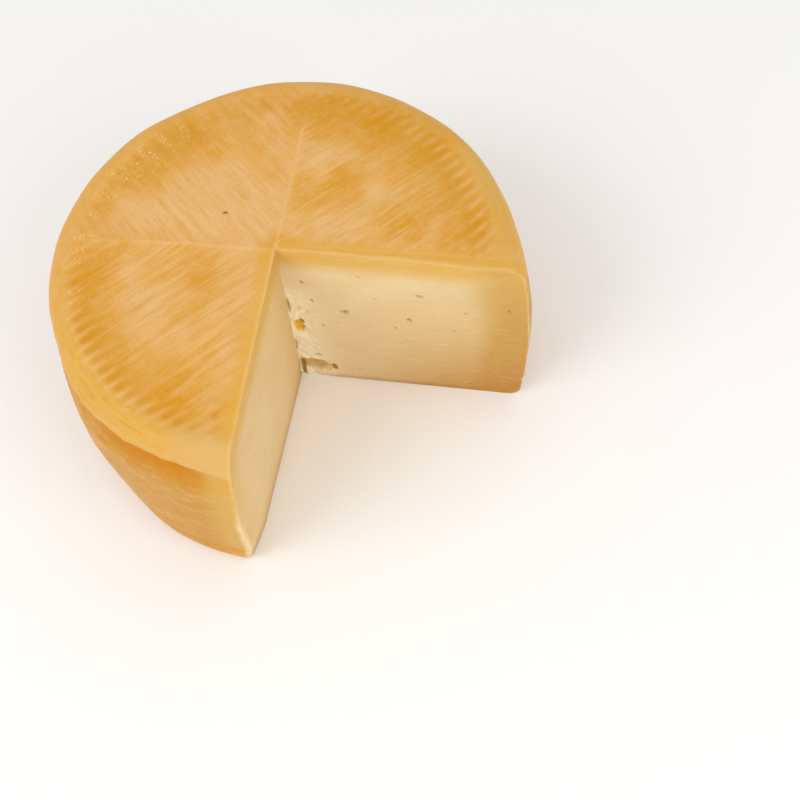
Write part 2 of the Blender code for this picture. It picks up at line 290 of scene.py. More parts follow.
def printRelief(x, y):
    # depth of the print in mm, how much of a point is groove, tooth, ridge, fine line or cross, and
    # its place along and across the boards' grooves
    p = printed
    draw, tint = random.Random(p["seed"]), random.Random(p["seed"] + 1)
    most = int(p["radius"] / p["pitch"])
    depth, groove, tooth, ridge, line = (np.zeros_like(x) for _ in range(5))
    flow, furthest = np.zeros((len(x), 3)), np.full_like(x, -999)
    px, py = x - p["centre"][0], y - p["centre"][1]
    radius, angle = np.hypot(px, py), np.arctan2(py, px)
    flat = onPlane(x, y)
    waver = 0.35 * grain(flat, 9, (2, 8, 5))
    wear = smooth(0.55 + 0.9 * grain(flat, 24, (4, 4, 0)) + 0.35 * grain(flat, 7, (1, 6, 2)))
    lineWear = smooth(0.6 + 1.2 * grain(flat, 17, (8, 2, 4)) + 0.5 * grain(flat, 6, (3, 7, 1)))
    for number, (bisector, first, share, lineShare) in enumerate(quadrants):
        heading = math.radians(bisector + p["turn"])
        along = px * math.cos(heading) + py * math.sin(heading)
        across = -px * math.sin(heading) + py * math.cos(heading)
        inside = (along > 0) & (abs(across) < along + 1)
        steps = np.arange(-most, most)
        starts, ends, shares, tints = (np.full(len(steps), 1e3) for _ in range(4))
        for index, step in enumerate(steps):
            offset = first + step * p["pitch"]
            start = abs(offset) + p["margin"] + draw.uniform(0, p["startScatter"])
            end = math.sqrt(p["radius"] ** 2 - offset**2) - draw.uniform(0, p["endScatter"])
            if end - start < p["shortest"]:
                continue
            starts[index], ends[index] = start, end
            shares[index] = share * draw.uniform(*p["scatter"])
            tints[index] = tint.uniform(*p["toothTint"])
        which = np.clip(np.round((across - first) / p["pitch"]).astype(int) + most, 0, len(steps) - 1)
        off = across + waver - (first + steps[which] * p["pitch"])
        start, end = starts[which], ends[which]
        here = inside & (start < 900) & (along > start) & (along < end)
        run = np.clip((along - start) / np.maximum(end - start, 1), 0, 1)
        half = mix(p["innerHalf"], p["outerHalf"], run)
        near = smooth((along - end + p["toothLength"]) / p["toothLength"])
        hollow = np.where(abs(off) < half, 0.5 + 0.5 * np.cos(math.pi * off / half), 0)
        tapered = smooth((along - start) / 3.5) * smooth((end - along) / p["endTaper"])
        full = mix(p["innerDepth"] * (0.35 + 0.65 * wear), p["outerDepth"], near**1.5)
        amount = np.where(here, hollow * tapered * np.minimum(shares[which], 2), 0)
        depth += amount * full
        groove += amount * (0.3 + 0.7 * wear)
        golden = smooth((along - end + p["goldLength"]) / (0.8 * p["goldLength"]))
        spot = np.where(here, hollow * smooth((end - along) / 2.5), 0)
        tooth += np.minimum(1.4 * spot, 1) * golden * np.minimum(tints[which], 1)
        flare = smooth((along - end + 9) / 8) * smooth((end + 4 - along) / 5)
        ridge += np.where(inside & (start < 900), (1 - hollow) ** 2 * flare, 0)
        # the board's own saw marks: thin ridges beside the grooves
        marks = onPlane(along / p["lineLength"], (across + waver) / p["lineWidth"], number * 9.0)
        saw = smooth((grain(marks, 1) - 0.12) / 0.34) * smooth((p["radius"] - 4 - radius) / 9)
        line += np.where(inside, saw * lineShare * (0.25 + 0.75 * lineWear), 0)
        nearer = along > furthest
        flow[nearer] = onPlane(along, across + waver, 40.0 * number)[nearer]
        furthest = np.maximum(furthest, along)
    turned = math.radians(p["turn"])
    bend = 0.5 * grain(flat, 14, (9, 1, 3))
    crossX = px * math.cos(turned) + py * math.sin(turned) + bend
    crossY = -px * math.sin(turned) + py * math.cos(turned) + bend
    cross = np.maximum(bell(crossX, p["crossHalf"]), bell(crossY, p["crossHalf"]))
    cross *= smooth((p["radius"] - 1 - radius) / 30) * (0.7 + 0.5 * grain(flat, 10, (3, 3, 3)))
    offCut = smooth(between(p["besideCut"], cutDistance(x, y, np.full_like(x, wheel["height"]))))
    gold = np.clip(0.2 + nearSides(angle, clearTeeth), 0, 1)
    marks = dict(groove=groove * offCut, tooth=np.clip(tooth, 0, 1) * gold, line=line * offCut,
                 ridge=np.clip(ridge, 0, 1) * gold, cross=np.clip(cross, 0, 1))
    return depth, marks, flow


# holes of the two cut faces

rightHoles = (                       # distance from the axis, depth under the top, width, height
    (5.8, 19.5, 1.9, 1.9), (8.3, 32.0, 1.9, 2.0), (21.4, 38.6, 4.6, 2.4), (10.8, 50.3, 1.7, 1.7),
    (49.2, 40.3, 2.3, 2.4), (54.2, 22.8, 3.0, 2.0), (73.3, 32.0, 1.8, 1.4), (90.8, 27.8, 1.4, 1.8),
    (24.0, 84.5, 1.8, 0.8), (75.0, 87.5, 1.9, 1.0), (68.3, 45.3, 2.0, 0.7),
    (47.5, 56.0, 1.6, 0.9), (30.0, 12.8, 1.8, 0.8), (61.7, 87.0, 1.6, 0.8), (83.3, 60.3, 1.2, 0.8),
    (36.0, 27.0, 1.8, 0.6), (18.0, 47.0, 1.1, 0.7), (43.0, 47.0, 1.0, 1.8), (60.0, 36.0, 0.9, 0.7),
)
pasteFace = dict(seed=12, smallHoles=9, smallRadius=(0.6, 1.0), pinHoles=20, pinRadius=(0.22, 0.4),
                 spacing=0.8, nearSpacing=0.42, nearReach=16, cornerSpacing=0.55)
pastePlaces = dict(band=(16.0, 11.5), sideBand=(25, 23), broken=(17, 76, 16), edge=1.3)


def faceHoles(side):
    # (distance, height, half width, half height, depth, turn) of every hole of a face
    draw = random.Random(pasteFace["seed"] + (0 if side == "right" else 7))
    holes = []
    if side == "right":
        for out, below, wide, high in rightHoles:
            holes.append((out, wheel["height"] - below, wide / 2, high / 2, 0.4 * (wide + high) / 2,
                          draw.uniform(-0.4, 0.4)))
    else:
        for index in range(pasteFace["smallHoles"]):
            out = mix(20, 85, (index + draw.uniform(0.1, 0.9)) / pasteFace["smallHoles"])
            radius = draw.uniform(*pasteFace["smallRadius"])
            holes.append((out, draw.uniform(8, 78), radius, radius * draw.uniform(0.6, 0.9), radius * 0.6,
                          draw.uniform(-0.6, 0.6)))
    for _ in range(pasteFace["pinHoles"]):
        radius = draw.uniform(*pasteFace["pinRadius"])
        holes.append((draw.uniform(4, 92), draw.uniform(6, 84), radius * draw.uniform(1, 2.4), radius,
                      radius * 0.7, draw.uniform(-0.7, 0.5)))
    return holes


def pasteRelief(out, z, side):
    # depth of a cut face's own relief in mm, and the painted shade in its holes, darker the deeper they are
    shift = (0, 0, 0) if side == "right" else (40, 9, 2)
    spot = onPlane(out, z)
    depth = 0.22 * grain(spot, 26, shift) + 0.07 * grain(spot, 5, shift)
    depth += 0.045 * grain(spot, (3.2, 0.8, 1), shift)          # drag of the knife
    near = smooth(1 - out / 17) * smooth((76 - z) / 16)
    depth += near * (0.22 * grain(spot, 2.2, shift) + 0.14 * grain(spot, 1.0, shift))
    holeShade = np.zeros_like(out)
    for px, pz, halfWide, halfHigh, deep, turn in faceHoles(side):
        far = (abs(out - px) < 3 * halfWide + 1) & (abs(z - pz) < 3 * halfWide + 1)
        dx, dz = out[far] - px, z[far] - pz
        u = (dx * math.cos(turn) + dz * math.sin(turn)) / halfWide
        v = (-dx * math.sin(turn) + dz * math.cos(turn)) / halfHigh
        q = np.hypot(u, v) * (1 + 0.15 * np.sin(3 * np.arctan2(v, u) + px))
        bowl = smooth((1.15 - q) * 1.5)
        depth[far] += deep * bowl
        # painted shade inside the hole, darker with its depth
        holeShade[far] = np.maximum(holeShade[far], bowl * min(1, deep / 0.8))
        rim = bell(q - 1.35, 0.3) * 0.06
        depth[far] -= rim
    return depth, holeShade


def pasteMarks(out, z, gap, side):
    # shares from 0 to 1 of the paste's colours on a cut face, gap mm away from the rind
    p = pastePlaces
    outer = wallRadius(z) - out
    sideBand = smooth((p["sideBand"][0] - outer) / p["sideBand"][1])
    band = smooth((p["band"][0] - gap) / p["band"][1])
    marks = dict(face=np.ones_like(out), flow=onPlane(out, z, 300 if side == "right" else 340))
    sideBand *= smooth((z - 4) / 20) * (0.95 if side == "right" else 0.5)
    marks["band"] = np.maximum(band * smooth((z - 62) / 20), sideBand)
    # paler along the top cut edge: partly a drier edge, partly a painted highlight where the rounded edge
    # catches the light
    marks["edge"] = np.clip(1 - gap / p["edge"], 0, 1) * smooth((z - 80) / 6)
    for name in ("eye", "crack", "chink", "hollow", "slot"):
        marks[name] = np.zeros_like(out)
    if side == "right":
        # the ripe and brown tones darken the paste towards the outer side, the lower right and the base:
        # partly ripening, partly painted shade
        away = np.clip((out - 12) / 80, 0, 1)
        marks["ripe"] = 0.95 * away * np.clip((86 - z) / 60, 0, 1) ** 0.7 + 0.55 * smooth((26 - outer) / 20)
        marks["brown"] = 0.25 * away * smooth((70 - z) / 60) + 0.75 * away * bell(z, 17)
        marks["brown"] += 0.3 * smooth((18 - outer) / 16) * smooth((66 - z) / 50) + 0.7 * bell(z, 2.0)
        marks["white"] = np.zeros_like(out)
        reach, top, fade = p["broken"]
        marks["broken"] = smooth(1 - out / reach) * smooth((top - z) / fade)
        for place in brokenPlaces:
            marks[place[0]] = np.maximum(marks[place[0]], brokenShare(out, z, place))
    else:
        # on the front face the ripe and brown tones paint ripening, with painted shade at the base and
        # beside the inner corner
        marks["ripe"] = 0.34 + 0.4 * bell(z, 7) + 0.3 * smooth(1 - out / 24) + 0.1 * smooth((z - 40) / 40)
        marks["brown"] = 0.6 * bell(z, 2.4)
        marks["white"] = smooth((4.5 - outer) / 3.5) * smooth((52 - z) / 25)
        marks["broken"] = np.zeros_like(out)
    return marks


# the fine mesh

fine = dict(columns=640, edgeColumns=(0, 0.25, 0.55, 1.0, 1.6, 2.3), topRows=110, shoulderRows=28,
            wallRows=(0.5, 0.9), fineWall=68, footRows=12, baseRows=90)


def columnShares():
    # shares of the way round from the right face to the front face, closest beside the faces
    around = wheel["wallRadius"] * math.radians(271)
    edge = np.array(fine["edgeColumns"]) / around
    inner = np.linspace(edge[-1], 1 - edge[-1], fine["columns"] + 1 - 2 * (len(edge) - 1))
    return np.concatenate([edge[:-1], inner, 1 - edge[:-1][::-1]])


def roundRow(radius, height, shares):
    # one ring round the axis, from the right face to the front face
    height = float(height)
    first, last = 0.0, math.radians(270)
    for _ in range(6):
        first = math.atan2(rightFaceY(radius * math.cos(first), height), radius * math.cos(first))
        down = -radius * math.sin(last)
        last = math.atan2(-down, frontFaceX(down, height)) % math.tau
    angle = mix(first, last, shares)
    return np.stack([radius * np.cos(angle), radius * np.sin(angle), np.full_like(angle, height)], axis=1)


def rowStep(radius):
    # towards the middle fewer columns are kept
    for step, limit in ((16, 5.3), (8, 10.5), (4, 21), (2, 42)):
        if radius < limit:
            return step
    return 1


def wheelRows():
    # rows of points from the middle of the top, over the rim and down the wall, to the base's middle
    w, shares = wheel, columnShares()
    rows, steps = [], []
    ring = roundRow(w["shoulderRadius"], w["height"], shares)
    apex = innerCorner(np.array([float(w["height"])]))
    for t in np.arange(fine["topRows"]) / fine["topRows"]:
        rows.append(apex + (ring - apex) * t)
        steps.append(rowStep(w["shoulderRadius"] * t))
    outline = []
    for a in np.linspace(90, 0, fine["shoulderRows"] + 1):
        a = math.radians(a)
        outline.append((w["shoulderRadius"] + (w["lipRadius"] - w["shoulderRadius"]) * math.cos(a),
                        w["lipHeight"] + (w["height"] - w["lipHeight"]) * math.sin(a)))
    heights = np.concatenate([
        np.arange(w["lipHeight"] - fine["wallRows"][0], fine["fineWall"], -fine["wallRows"][0]),
        np.arange(fine["fineWall"], w["footHeight"] + 0.4, -fine["wallRows"][1]),
    ])
    outline += [(float(wallRadius(h)), h) for h in heights]
    footWide = float(wallRadius(w["footHeight"])) - w["footRadius"]
    for a in np.linspace(0, 90, fine["footRows"] + 1):
        a = math.radians(a)
        outline.append((w["footRadius"] + footWide * math.cos(a), w["footHeight"] * (1 - math.sin(a))))
    for radius, height in outline:
        rows.append(roundRow(radius, height, shares))
        steps.append(1)
    ring, apex = rows[-1], innerCorner(np.array([0.0]))
    for t in 1 - np.arange(1, fine["baseRows"] + 1) / fine["baseRows"]:
        rows.append(apex + (ring - apex) * t)
        steps.append(rowStep(w["footRadius"] * t))
    return np.array(rows), steps


# the rind's colours are laid by place: how deep golden or how pale it is, bloom, crease and foot

goldenPlaces = (                     # x, y and spread on the top
    (-66, 35, 12), (-56, 56, 13), (-72, -11, 9), (-76, -22, 8), (0, 72, 14), (36, 68, 17), (58, 55, 15),
    (76, 24, 12), (-50, -64, 10), (-27, -70, 12), (-28, -18, 6), (48, 14, 12), (-66, -46, 7), (-71, -34, 6),
    (0, -1, 9), (22, 34, 10),
)
palePlaces = (
    (-43, 25, 15), (-62, 15, 8), (-10, 32, 13), (-20, 10, 12), (-59, -17, 6), (-48, -32, 9), (-30, -44, 8),
    (20, 12, 9), (10, 48, 8),
)
rindSides = dict(                    # direction in degrees, spread in degrees, share
    goldRim=((33, 30, 1.2), (72, 24, 0.8), (226, 28, 0.6), (140, 28, 0.8)),
    golden=((232, 26, 1), (26, 18, 1)), pale=((265, 10, 1),), paleRim=((14, 17, 0.9),),
    crease=((243, 9, 1), (255, 6, 0.9)), pink=((222, 13, 1),), bloom=((189, 17, 1),),
    bloomBack=((148, 24, 0.8),), wrinkles=((222, 11, 0.8),), crags=((clothFold["side"], 34, 0.6),),
    lipRoll=((266, 7, 1.7),),
)
rindPlaces = dict(
    goldenRing=(50, 84), ringShare=0.45, goldRim=(54, 76), cloudSize=19, shoulder=(82.5, 87),
    strip=(8, 2.5), edge=1.5, crease=(77, 3), pink=(69, 12), foot=(12, 4), lipRoll=(75, 10),
    wrinkles=(71, 7), crags=(78, 3.5), lipEdge=(82, 5),
    paleRim=(87, 3.2), bloom=(82.5, 5), bloomBack=(78, 10), bumpPlace=(-13.1, -72.2), bumpSize=2.3,
    bumpHeight=0.55, speckPlace=(-24.5, 15.0), speckSize=(1.0, 0.6),
)


clothMarks = (                       # depth in mm, lumps along and up the wall, the noise's shift
    (0.03, (38, 1.8, 1), (0, 0, 0)),
    (0.02, (16, 0.9, 1), (5, 5, 5)),
    (0.2, (7, 12, 1), (8, 2, 0)),
)


def cutDistance(x, y, z):
    # distance from the nearer cut face, in mm
    fromRight = np.where(x > 0, abs(y - rightFaceY(x, z)), 99)
    fromFront = np.where(y < 0, abs(frontFaceX(-y, z) - x), 99)
    return np.minimum(fromRight, fromFront)


def rindMarks(points, level, onBase):
    # shares from 0 to 1 of the rind's colours at every point
    r = rindPlaces
    x, y, z = points.T
    radius, angle = np.hypot(x, y), np.arctan2(y, x)
    cloud = grain(points, r["cloudSize"], (1, 2, 3)) + 0.5 * grain(points, r["cloudSize"] / 2.4, (4, 1, 2))
    small = grain(points, 3.2, (2, 5, 1))
    around = onPlane(angle * wheel["wallRadius"], z)
    banded = grain(around, (26, 7, 1), (3, 3, 1)) + 0.6 * grain(around, (12, 3, 1), (1, 7, 2))
    golden = sum(bell(np.hypot(x - px, y - py), spread) for px, py, spread in goldenPlaces)
    pale = sum(bell(np.hypot(x - px, y - py), spread) for px, py, spread in palePlaces)
    ring = r["ringShare"] * smooth(between(r["goldenRing"], radius))
    near = {name: nearSides(angle, sides) for name, sides in rindSides.items()}
    deep = np.clip(0.85 * np.where(onBase, 0.3, golden) + 0.3 * cloud - 0.12 + 0.25 * small, 0, 1)
    wall = 1 - smooth((z - 77) / 5)
    gap = cutDistance(x, y, z)
    onShoulder = smooth(between(r["shoulder"], radius)) * (1 - wall)
    onRim = smooth(between(r["goldRim"], radius)) * (1 - smooth((radius - 81) / 4)) * (1 - wall)
    # the crease under the lip is painted deep orange: partly the rind's deeper colour in the fold, partly
    # painted shade under the lip's overhang
    creased = bell(level - r["crease"][0] - 2 * cloud, r["crease"][1] * (1 + 0.6 * small))
    pinkHere = near["pink"] * about(z, r["pink"])
    marks = dict(
        top=smooth((86 - radius) / 6) * (1 - wall) + onBase,
        hole=np.zeros_like(x),
        golden=np.clip(0.68 + ring + 1.1 * cloud + np.where(onBase, 0.1, 0.85 * golden - 0.8 * pale), 0, 1),
        deep=smooth(deep) * (1 - smooth((radius - 86) / 8)),
        goldRim=np.clip(near["goldRim"] * (1 + 0.7 * cloud), 0, 1) * onRim,
        shoulder=onShoulder * np.clip(0.15 + near["golden"], 0, 1),
        paleShoulder=onShoulder * np.clip(near["pale"], 0, 1),
        paleRim=near["paleRim"] * about(radius, r["paleRim"]),
        wall=wall,
        crease=np.clip(near["crease"] * creased, 0, 1) * smooth((gap - 5) / 8),
        pink=np.clip(pinkHere + 0.7 * banded - 0.15, 0, 1) * wall,
        rust=np.clip(0.1 - 1.3 * banded + 0.5 * cloud, 0, 1) * wall,
        nearCut=smooth((17 - gap) / 13) * wall * (y < 0),
        sheen=np.clip(0.15 + 1.4 * grain(around, (17, 5, 1), (9, 2, 6)) + 0.6 * small, 0, 1) * (1 - wall),
        foot=about(z, r["foot"]) + smooth((3.5 - z) / 3),
        strip=smooth(between(r["strip"], gap)) * (1 - 0.8 * onShoulder),
        # paler along the cut: partly a drier rind edge, partly a painted highlight where the rounded edge
        # catches the light
        edge=np.clip(1 - gap / r["edge"], 0, 1),
        pale=smooth((3.2 - gap) / 2.6) * smooth((68 - z) / 30) * (y < 0) * (radius > 60) * (x > -30),
    )
    bloom = near["bloom"] * about(radius, r["bloom"]) + near["bloomBack"] * about(radius, r["bloomBack"])
    tufts = smooth(0.5 + 2.2 * grain(around, (5, 5, 1), (2, 4, 8)))
    marks["bloom"] = np.clip(1.2 * bloom, 0, 1) * tufts * smooth((z - 80) / 5)
    dx, dy = x - r["speckPlace"][0], y - r["speckPlace"][1]
    marks["speck"] = smooth(1.6 - np.hypot(dx / r["speckSize"][0], dy / r["speckSize"][1])) * (z > 80)
    return marks


def wheelSurface(rows):
    # settles the rows and adds the print, the wall's cloth marks and the rounded cut edges
    count, width = rows.shape[:2]
    points = settled(rows.reshape(-1, 3))
    x, y, z = points.T
    radius, angle = np.hypot(x, y), np.arctan2(y, x) % math.tau
    level = np.repeat(rows[:, 0, 2], width)            # height before settling
    onTop = smooth((level - 90.5) / 2.5) * smooth((90 - radius) / 5)
    onBase = (level < 0.01) & (radius < 90)
    looks = rindMarks(points, level, onBase)
    flatFace = (level > 88) | onBase
    depth, marks, flow = printRelief(x[flatFace], y[flatFace])
    below = onBase[flatFace]
    face = np.where(below, -printed["underside"], onTop[flatFace])
    fineRidge = printed["lineHeight"] * marks["line"] + printed["crossHeight"] * marks["cross"]
    points[flatFace, 2] -= face * (depth - fineRidge * np.where(below, 0, 1))
    for name, value in marks.items():
        looks[name] = np.zeros(len(points))
        looks[name][flatFace] = value * abs(face)

    # streaks follow the boards on the flat faces, and run round the wheel on its side
    around = onPlane(angle * wheel["wallRadius"], z, 200)
    looks["round"] = onPlane(angle * wheel["wallRadius"], radius - z, 200)
    looks["flow"] = looks["round"].copy()
    looks["flow"][flatFace] = flow

    # a small bump pressed beside the teeth, and bloom that stands up in grains
    r = rindPlaces
    away = np.hypot(x - r["bumpPlace"][0], y - r["bumpPlace"][1])
    # the dent beside the bump is painted with the crease colour as the bump's shadow
    dent = bell(np.hypot(x - r["bumpPlace"][0] - 2.2, y - r["bumpPlace"][1] + 2.6), 1.5)
    bump = r["bumpHeight"] * bell(away, r["bumpSize"]) - 0.3 * dent
    points[:, 2] += bump * onTop
    looks["dent"] = dent * onTop
    looks["line"] = np.clip(looks["line"] + 0.9 * bell(away, 1.8) * onTop, 0, 1)
    points[:, 2] += 0.16 * looks["bloom"] * np.clip(grain(points, 2.4, (6, 6, 1)), -0.2, 1)

    # the wall's cloth marks run round it, a few tenths of a millimetre deep at most
    near = {name: nearSides(angle, sides) for name, sides in rindSides.items()}
    onWall = smooth((level - 3) / 8) * (1 - smooth((level - 84) / 6))
    marks = sum(amount * grain(around, size, shift) for amount, size, shift in clothMarks)
    marks += near["wrinkles"] * about(z, r["wrinkles"]) * grain(around, (7, 2.6, 1), (1, 9, 4))
    marks += near["crags"] * about(level, r["crags"]) * (grain(around, (9, 3, 1), (6, 1, 7)) - 0.3)
    lumps = near["crags"] * about(level, r["lipEdge"])
    marks += 1.4 * lumps * grain(around, (6, 40, 1), (4, 4, 2))
    points[:, 2] += 4.5 * lumps * grain(around, (9, 40, 1), (2, 2, 5))
    # beside the cut the shoulder rolls on into the wall
    roll = near["lipRoll"] * about(level, r["lipRoll"]) * smooth((86 - level) / 8)
    out = (marks * onWall + roll) / np.maximum(radius, 1)
    points[:, 0] += x * out
    points[:, 1] += y * out
    return points.reshape(count, width, 3), looks


def roundEdges(points):
    # lets the surface fall a little where it meets a cut face
    x, y, z = points.reshape(-1, 3).T
    span = cut["edgeSpan"]
    fromRight = np.where(x > 0, y - rightFaceY(x, z), 99)
    fromFront = np.where(y < 0, frontFaceX(-y, z) - x, 99)
    near = np.clip(1 - np.minimum(fromRight, fromFront) / span, 0, 1) ** 2 * cut["edgeRound"]
    radius = np.hypot(x, y)
    upward = smooth((z - 84) / 8)
    moved = points.reshape(-1, 3).copy()
    moved[:, 2] -= near * upward
    sideways = near * (1 - upward) * smooth((radius - 90) / 4) / np.maximum(radius, 1)
    moved[:, 0] -= x * sideways
    moved[:, 1] -= y * sideways
    return moved.reshape(points.shape)


def insideLoop(px, pz, loop):
    # even-odd test of points against a closed loop
    inside = np.zeros(len(px), dtype=bool)
    for (ax, az), (bx, bz) in zip(loop, np.roll(loop, -1, axis=0)):
        if az == bz:
            continue
        crosses = ((az > pz) != (bz > pz)) & (px < (bx - ax) * (pz - az) / (bz - az) + ax)
        inside ^= crosses
    return inside


def fillFace(loop, side):
    # triangles of a cut face over its outline, finest near the broken corner and round the holes
    f = pasteFace
    draw = np.random.default_rng(f["seed"])
    low, high = loop.min(axis=0), loop.max(axis=0)
    spots = []
    for spacing, start, end in ((f["nearSpacing"], low[0], f["nearReach"]),
                                (f["spacing"], f["nearReach"] + f["spacing"] / 2, high[0])):
        xs, zs = np.meshgrid(np.arange(start, end, spacing), np.arange(low[1], high[1], spacing * 0.9))
        xs = xs + (np.arange(len(xs))[:, None] % 2) * spacing / 2
        jitter = draw.uniform(-0.12, 0.12, (2, *xs.shape)) * spacing
        spots.append(np.stack([(xs + jitter[0]).ravel(), (zs + jitter[1]).ravel()], axis=1))
    for px, pz, halfWide, halfHigh, _, turn in faceHoles(side):
        if px < f["nearReach"]:
            continue
        for ring, size in enumerate((0.0, 0.45, 0.85, 1.3)):
            for k in range(1 if ring == 0 else 10):
                a = math.tau * k / 10 + 0.3 * ring
                u, v = size * halfWide * math.cos(a), size * halfHigh * math.sin(a)
                spots.append([[px + u * math.cos(turn) - v * math.sin(turn),
                               pz + u * math.sin(turn) + v * math.cos(turn)]])
    spots = np.concatenate([np.asarray(s) for s in spots])
    spots = spots[insideLoop(spots[:, 0], spots[:, 1], loop)]
    clear = np.full(len(spots), 9.0)
    for (ax, az), (bx, bz) in zip(loop, np.roll(loop, -1, axis=0)):
        close = (abs(spots[:, 0] - ax) < 2) & (abs(spots[:, 1] - az) < 2)
        if close.any():
            middle = np.array([(ax + bx) / 2, (az + bz) / 2])
            clear[close] = np.minimum(clear[close], np.linalg.norm(spots[close] - middle, axis=1))
    spots = spots[clear > 0.3]
    places = [Vector(p) for p in loop] + [Vector(p) for p in spots]
    edges = [(i, (i + 1) % len(loop)) for i in range(len(loop))]
    made, _, faces, sources, _, _ = delaunay_2d_cdt(places, edges, [], 1, 1e-6)
    made = np.array([tuple(p) for p in made])
    return made, faces, [s[0] if s else -1 for s in sources]


def buildWheel():
    rows, steps = wheelRows()
    count, width = rows.shape[:2]
    points, looks = wheelSurface(rows)
    points = roundEdges(points)
    # the first and last columns lie exactly in the cut faces, and the apexes in both
    points[:, 0, 1] = rightFaceY(points[:, 0, 0], points[:, 0, 2])
    points[:, -1, 0] = frontFaceX(-points[:, -1, 1], points[:, -1, 2])
    for row in (0, count - 1):
        points[row, :] = innerCorner(points[row, :1, 2])
    print("wheel rows:", count, "columns:", width)

    kept = np.zeros((count, width), dtype=bool)
    for row, step in enumerate(steps):
        kept[row, ::step] = True
    kept[0, 1:] = kept[-1, 1:] = False
    index = np.full((count, width), -1)
    index[kept] = np.arange(kept.sum())
    faces = []
    for row in range(count - 1):
        upper, lower = steps[row], steps[row + 1]
        a, b = index[row, ::upper], index[row + 1, ::lower]
        if row == 0:
            faces += [(a[0], b[i], b[i + 1]) for i in range(len(b) - 1)]
        elif row == count - 2:
            faces += [(a[i], b[0], a[i + 1]) for i in range(len(a) - 1)]
        elif upper == lower:
            faces += list(zip(a[:-1], b[:-1], b[1:], a[1:]))
        elif upper > lower:
            for i in range(len(a) - 1):
                faces += [(a[i], b[2 * i], b[2 * i + 1]), (a[i], b[2 * i + 1], a[i + 1]),
                          (a[i + 1], b[2 * i + 1], b[2 * i + 2])]
        else:
            for i in range(len(b) - 1):
                faces += [(a[2 * i], b[i], a[2 * i + 1]), (a[2 * i + 1], b[i], b[i + 1]),
                          (a[2 * i + 1], b[i + 1], a[2 * i + 2])]
    places = [points[kept]]
    values = {name: [value[kept.ravel()]] for name, value in looks.items()}
    total = int(kept.sum())

    # the inner corner's line, from the base up, shared by both faces
    topZ, baseZ = points[0, 0, 2], points[-1, 0, 2]
    ups = np.arange(baseZ + pasteFace["cornerSpacing"], topZ - 0.2, pasteFace["cornerSpacing"])
    corner = innerCorner(ups)
    cornerIndex = list(range(total, total + len(corner)))
    places.append(corner)
    marks = pasteMarks(corner[:, 0], ups, topZ - ups, "right")
    for name in marks:
        values.setdefault(name, [np.zeros(total)])
    for name, value in values.items():
        value.append(marks.get(name, np.zeros((len(corner), *value[0].shape[1:]))))
    total += len(corner)

    materials = [0] * len(faces)
    for side in ("right", "front"):
        column = 0 if side == "right" else -1
        rim = points[:, column]
        rimIndex = [index[r, 0 if r in (0, count - 1) else (0 if side == "right" else width - 1)]
                    for r in range(count)]
        loop3 = np.concatenate([rim, corner])
        loopIndex = rimIndex + cornerIndex
        flat = np.stack([loop3[:, 0] if side == "right" else -loop3[:, 1], loop3[:, 2]], axis=1)
        made, tris, sources = fillFace(flat, side)
        lookup, fresh = [], []
        for k, source in enumerate(sources):
            if 0 <= source < len(loopIndex):
                lookup.append(loopIndex[source])
            else:
                lookup.append(total + len(fresh))
                fresh.append(made[k])
        fresh = np.array(fresh)
        out, z = fresh.T
        y = rightFaceY(out, z) if side == "right" else -out
        x = out if side == "right" else frontFaceX(out, z)
        relief, holeShade = pasteRelief(out, z, side)
        outline = flat[:count]
        for name, value in pasteMarks(*outline.T, np.zeros(count), side).items():
            if name not in looks:
                values[name][0][rimIndex] = value
        # distance to the rind's outline
        gap = np.full(len(fresh), 99.0)
        for (ax, az), (bx, bz) in zip(outline[:-1:3], outline[3::3]):
            d = np.hypot(out - (ax + bx) / 2, z - (az + bz) / 2)
            gap = np.minimum(gap, d)
        calm = smooth((gap - 0.4) / 2)
        rounding = cut["edgeRound"] * np.clip(1 - gap / cut["edgeSpan"], 0, 1) ** 2
        push = relief * calm + rounding
        solid = np.stack([x, y, z], axis=1)
        solid[:, 1 if side == "right" else 0] += push if side == "right" else -push
        places.append(solid)
        marks = pasteMarks(out, z, gap, side)
        # the holes' painted shade
        marks["hole"] = holeShade
        for name, value in values.items():
            value.append(marks.get(name, np.zeros((len(fresh), *value[0].shape[1:]))))
        lookup = np.array(lookup)
        for tri in tris:
            a, b, c = lookup[tri[0]], lookup[tri[1]], lookup[tri[2]]
            faces.append((a, b, c) if side == "right" else (a, c, b))
            materials.append(1)
        total += len(fresh)
        print(side, "face:", len(tris), "triangles")

    places = np.concatenate(places)
    values = {name: np.concatenate(value) for name, value in values.items()}
    return torn(places), faces, materials, values


def makeMesh(name, places, faces, materials=None, values=None):
    mesh = bpy.data.meshes.new(name)
    mesh.from_pydata((places * mm).tolist(), [], [tuple(int(i) for i in f) for f in faces])
    if materials is not None:
        mesh.polygons.foreach_set("material_index", materials)
    for key, value in (values or {}).items():
        if value.ndim == 1:
            mesh.attributes.new(key, "FLOAT", "POINT").data.foreach_set("value", value)
        else:
            mesh.attributes.new(key, "FLOAT_VECTOR", "POINT").data.foreach_set("vector", value.ravel())
    mesh.validate()
    mesh.update()
    obj = bpy.data.objects.new(name, mesh)
    bpy.context.scene.collection.objects.link(obj)
    return obj


